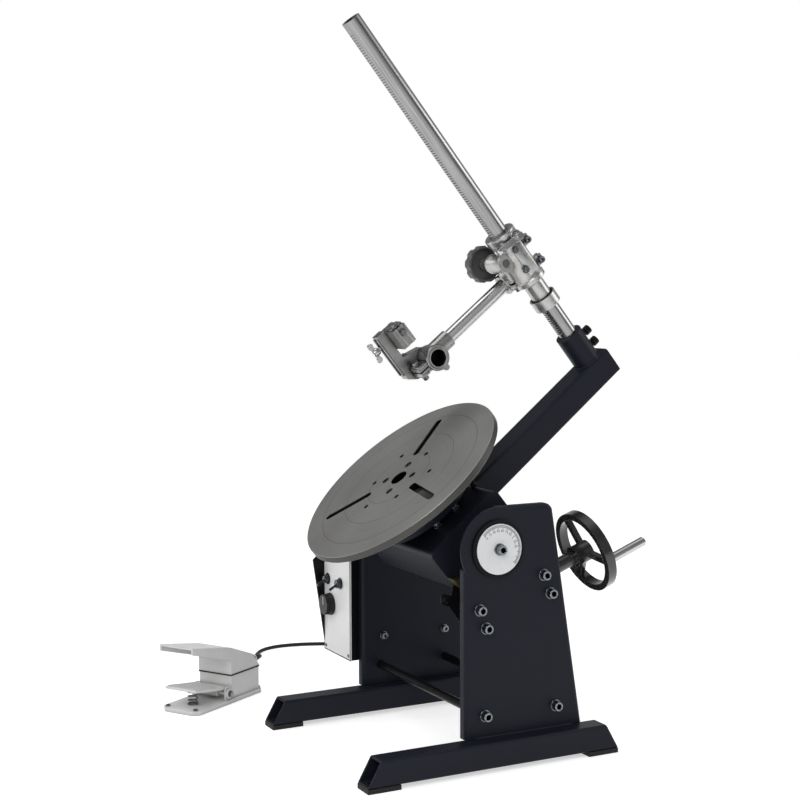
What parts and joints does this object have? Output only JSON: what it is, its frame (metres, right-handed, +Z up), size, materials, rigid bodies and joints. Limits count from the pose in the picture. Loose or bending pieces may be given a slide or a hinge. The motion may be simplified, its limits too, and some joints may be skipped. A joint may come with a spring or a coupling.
{
  "type": "welding positioner",
  "caption": "Bench welding positioner with tilting rotary faceplate, worm tilt drive, rack column with cross arm and torch holder, control box and foot switch.",
  "frame": {"origin": "on the floor, in the middle of the four floor bolt holes", "axes": "+X from the control box side to the handwheel side, parallel to the tilt axis; +Y to the rear, along the floor tubes; +Z up"},
  "size_m": [0.7691, 0.5997, 0.9888],
  "materials": {
    "powder_coat": "satin",
    "machined_steel": "satin",
    "bright_steel": "polished",
    "cast_aluminium": "rough cast",
    "black_steel": "satin",
    "black_plastic": "satin",
    "dial_metal": "satin",
    "bronze": "satin",
    "zinc": "bright",
    "white_paint": "satin",
    "grey_paint": "satin",
    "rubber": "matt"
  },
  "bodies": {
    "stand": {"foot_tube_near": "powder_coat", "foot_tube_far": "powder_coat", "foot_pads_near": "rubber", "foot_pads_far": "rubber", "side_cheek_near": "powder_coat", "side_cheek_far": "powder_coat", "tie_rod_front": "black_steel", "tie_rod_rear": "black_steel", "trunnion_bush_near": "black_steel", "trunnion_bush_far": "black_steel", "worm_block_front": "black_steel", "worm_block_rear": "black_steel", "control_box_body": "black_steel", "control_panel": "white_paint", "control_box_guard": "black_steel", "mains_inlet": "black_plastic", "box_cord_gland": "rubber", "pedal_base": "grey_paint", "pedal_case": "grey_paint", "pedal_gasket": "rubber", "pedal_cover": "grey_paint", "pedal_spring": "zinc", "pedal_cord_gland": "rubber", "pedal_cord": "rubber", "pedal_cord_coil": "rubber"},
    "head": {"head_channel": "powder_coat", "head_end_near": "powder_coat", "head_end_far": "powder_coat", "trunnion_near": "machined_steel", "trunnion_far": "machined_steel", "worm_sector": "bronze", "spindle_housing": "powder_coat", "gearbox": "black_steel", "drive_motor": "black_steel", "torch_arm": "powder_coat", "column_sleeve": "powder_coat", "sleeve_screws": "black_steel", "dial_plate": "dial_metal"},
    "faceplate": {"table_plate": "machined_steel", "spindle_hub": "machined_steel"},
    "tilt_drive": {"worm_shaft": "machined_steel", "handwheel": "black_steel"},
    "handle": {"handwheel_grip": "bright_steel"},
    "mast": {"column": "bright_steel"},
    "collar": {"stop_collar": "cast_aluminium"},
    "clamp": {"clamp_body": "cast_aluminium"},
    "height_knob": {"clamp_knob": "black_plastic"},
    "lever": {"clamp_lever": "bright_steel"},
    "reach_arm": {"cross_arm": "bright_steel", "torch_ring": "cast_aluminium"},
    "reach_knob": {"arm_pinion": "bright_steel"},
    "torch_holder": {"torch_block": "cast_aluminium"},
    "jaw": {"torch_jaw": "cast_aluminium"},
    "wing": {"wing_screw": "bright_steel"},
    "left_switch": {"toggle_left": "bright_steel"},
    "right_switch": {"toggle_right": "bright_steel"},
    "speed": {"speed_knob": "black_plastic"},
    "tread": {"pedal_tread": "grey_paint"}
  },
  "joints": [
    {"name": "tilt", "type": "hinge", "parent": "stand", "child": "head", "pos_m": [0, 0.0132, 0.2881], "axis": [1, 0, 0], "range_deg": [-39.3, 50.7]},
    {"name": "turn", "type": "hinge", "parent": "head", "child": "faceplate", "pos_m": [-0.008, -0.04636, 0.36082], "axis": [0, -0.6337, 0.7736], "continuous": true},
    {"name": "worm_turn", "type": "hinge", "parent": "stand", "child": "tilt_drive", "pos_m": [0.11, 0.04063, 0.21626], "axis": [0, 0.9342, 0.3567], "range_deg": [-1573, 2029]},
    {"name": "handle_turn", "type": "hinge", "parent": "tilt_drive", "child": "handle", "pos_m": [0.15902, 0.18322, 0.26333], "axis": [0, 0.9342, 0.3567], "continuous": true},
    {"name": "mast_turn", "type": "hinge", "parent": "head", "child": "mast", "pos_m": [-0.008, 0.23372, 0.54628], "axis": [0, -0.6337, 0.7736], "range_deg": [-120, 120]},
    {"name": "collar_slide", "type": "slide", "parent": "mast", "child": "collar", "axis": [0, -0.6337, 0.7736], "range_m": [-0.045, 0.0002]},
    {"name": "height", "type": "slide", "parent": "mast", "child": "clamp", "axis": [0, -0.6337, 0.7736], "range_m": [0, 0.345]},
    {"name": "height_knob_turn", "type": "hinge", "parent": "clamp", "child": "height_knob", "pos_m": [-0.056, 0.10824, 0.66066], "axis": [1, 0, 0], "range_deg": [-2115, 5]},
    {"name": "lever_turn", "type": "hinge", "parent": "clamp", "child": "lever", "pos_m": [0.016, 0.12014, 0.69885], "axis": [1, 0, 0], "range_deg": [-70, 20]},
    {"name": "reach", "type": "slide", "parent": "clamp", "child": "reach_arm", "axis": [0, 0.7736, 0.6337], "range_m": [-0.003, 0.105]},
    {"name": "reach_knob_turn", "type": "hinge", "parent": "clamp", "child": "reach_knob", "pos_m": [-0.06, 0.17172, 0.64376], "axis": [1, 0, 0], "range_deg": [-1150, 35]},
    {"name": "torch_angle", "type": "hinge", "parent": "reach_arm", "child": "torch_holder", "pos_m": [-0.036, 0.01666, 0.53007], "axis": [1, 0, 0], "range_deg": [-60, 60]},
    {"name": "jaw_slide", "type": "slide", "parent": "torch_holder", "child": "jaw", "axis": [0, 0.7736, 0.6337], "range_m": [0, 0.006]},
    {"name": "wing_turn", "type": "hinge", "parent": "torch_holder", "child": "wing", "pos_m": [-0.0583, -0.05828, 0.54108], "axis": [0, 0.7736, 0.6337], "continuous": true},
    {"name": "left_toggle", "type": "hinge", "parent": "stand", "child": "left_switch", "pos_m": [-0.252, -0.0535, 0.187], "axis": [1, 0, 0], "range_deg": [-60, 0]},
    {"name": "right_toggle", "type": "hinge", "parent": "stand", "child": "right_switch", "pos_m": [-0.2075, -0.0535, 0.187], "axis": [1, 0, 0], "range_deg": [-60, 0]},
    {"name": "speed_turn", "type": "hinge", "parent": "stand", "child": "speed", "pos_m": [-0.242, -0.057, 0.15], "axis": [0, 1, 0], "range_deg": [-135, 135]},
    {"name": "tread_press", "type": "hinge", "parent": "stand", "child": "tread", "pos_m": [-0.32547, -0.21239, 0.01625], "axis": [0.8471, 0.5314, 0], "range_deg": [0, 8], "stiffness_Nm_per_rad": 1, "springref_deg": -11.46, "deforming": ["pedal_spring"]}
  ],
  "couplings": [
    {"joint": "worm_turn", "follows": "tilt", "ratio": 40},
    {"joint": "height_knob_turn", "follows": "height", "rad_per_m": -106.67},
    {"joint": "reach_knob_turn", "follows": "reach", "rad_per_m": -188.68}
  ]
}
